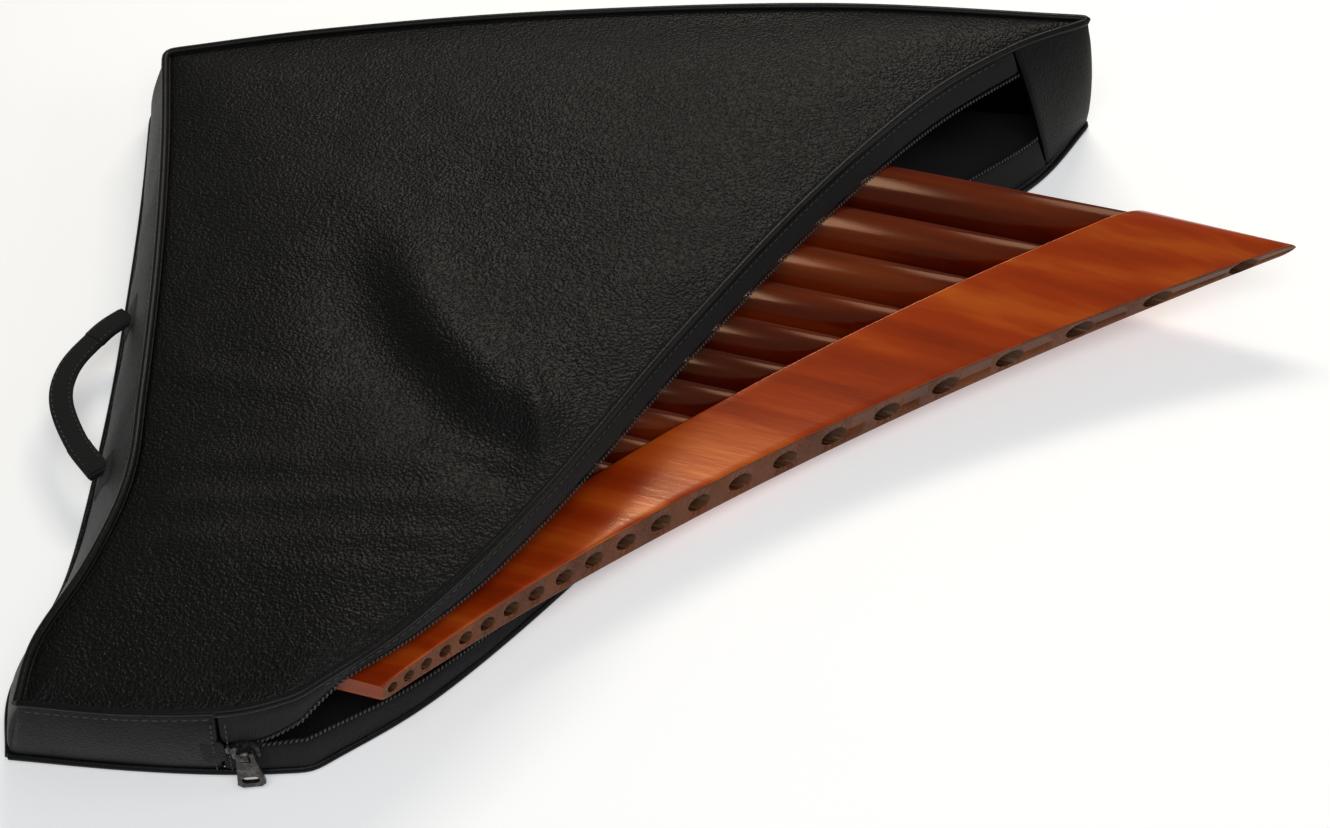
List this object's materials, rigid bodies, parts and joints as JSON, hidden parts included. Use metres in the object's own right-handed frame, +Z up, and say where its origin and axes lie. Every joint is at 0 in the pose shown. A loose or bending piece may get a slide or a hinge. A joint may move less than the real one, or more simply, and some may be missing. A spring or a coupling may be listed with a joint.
{
  "type": "pan flute in carry bag",
  "caption": "Curved wooden pan flute with a slanted foot, swung part-way out of its padded, zipped carry bag with a side handle.",
  "frame": {"origin": "centre of the bounding box of the flute and its bag, on the surface that the bag lies on", "axes": "+Z up, +X along the pipes from their mouths towards the foot, +Y towards the bass pipe"},
  "size_m": [0.5766, 0.5042, 0.0784],
  "materials": {
    "lacquered_pipe": "gloss lacquer",
    "lacquered_board": "gloss lacquer",
    "cork": "raw",
    "leatherette": "pebbled, satin",
    "foam": "open cell",
    "lining": "woven",
    "zip_fabric": "woven",
    "zip_coil": "satin",
    "webbing": "woven",
    "blackened_metal": "semi gloss"
  },
  "bodies": {
    "bag": {"top_shell": "leatherette", "top_padding": "foam", "top_lining": "lining", "bottom_shell": "leatherette", "bottom_padding": "foam", "bottom_lining": "lining", "long_gusset": "leatherette", "spine_gusset": "leatherette", "end_gusset": "leatherette", "zip_band_upper": "zip_fabric", "zip_tape_upper": "zip_fabric", "zip_teeth_upper": "zip_coil", "zip_band_lower": "zip_fabric", "zip_tape_lower": "zip_fabric", "zip_teeth_lower": "zip_coil", "piping_top": "leatherette", "piping_bottom": "leatherette", "zip_end_tab": "leatherette", "zip_stop": "blackened_metal", "handle_patch_top": "webbing", "handle_patch_low": "webbing"},
    "flute": {"pipe_01": "lacquered_pipe", "pipe_02": "lacquered_pipe", "pipe_03": "lacquered_pipe", "pipe_04": "lacquered_pipe", "pipe_05": "lacquered_pipe", "pipe_06": "lacquered_pipe", "pipe_07": "lacquered_pipe", "pipe_08": "lacquered_pipe", "pipe_09": "lacquered_pipe", "pipe_10": "lacquered_pipe", "pipe_11": "lacquered_pipe", "pipe_12": "lacquered_pipe", "pipe_13": "lacquered_pipe", "pipe_14": "lacquered_pipe", "pipe_15": "lacquered_pipe", "pipe_16": "lacquered_pipe", "pipe_17": "lacquered_pipe", "pipe_18": "lacquered_pipe", "pipe_19": "lacquered_pipe", "pipe_20": "lacquered_pipe", "pipe_21": "lacquered_pipe", "pipe_22": "lacquered_pipe", "foot_front_board": "lacquered_board", "foot_back_board": "lacquered_board", "tuning_corks": "cork"},
    "zip_slider": {"zip_slider": "blackened_metal"},
    "zip_puller": {"zip_puller": "blackened_metal"},
    "handle": {"handle": "webbing"}
  },
  "joints": [
    {"name": "flute_draw_out", "type": "slide", "parent": "bag", "child": "flute", "axis": [1, 0, 0], "range_m": [0, 0.26]},
    {"name": "zip_travel", "type": "slide", "parent": "bag", "child": "zip_slider", "axis": [0.9271, 0.3747, 0], "range_m": [0, 0.014]},
    {"name": "puller_swing", "type": "hinge", "parent": "zip_slider", "child": "zip_puller", "pos_m": [-0.07435, -0.23539, 0.024], "axis": [-0.9271, -0.3747, 0], "range_deg": [0, 150]},
    {"name": "handle_swing", "type": "hinge", "parent": "bag", "child": "handle", "pos_m": [-0.208, -0.07511, 0.02], "axis": [-0.3276, 0.9448, 0], "range_deg": [-15, 75]}
  ]
}
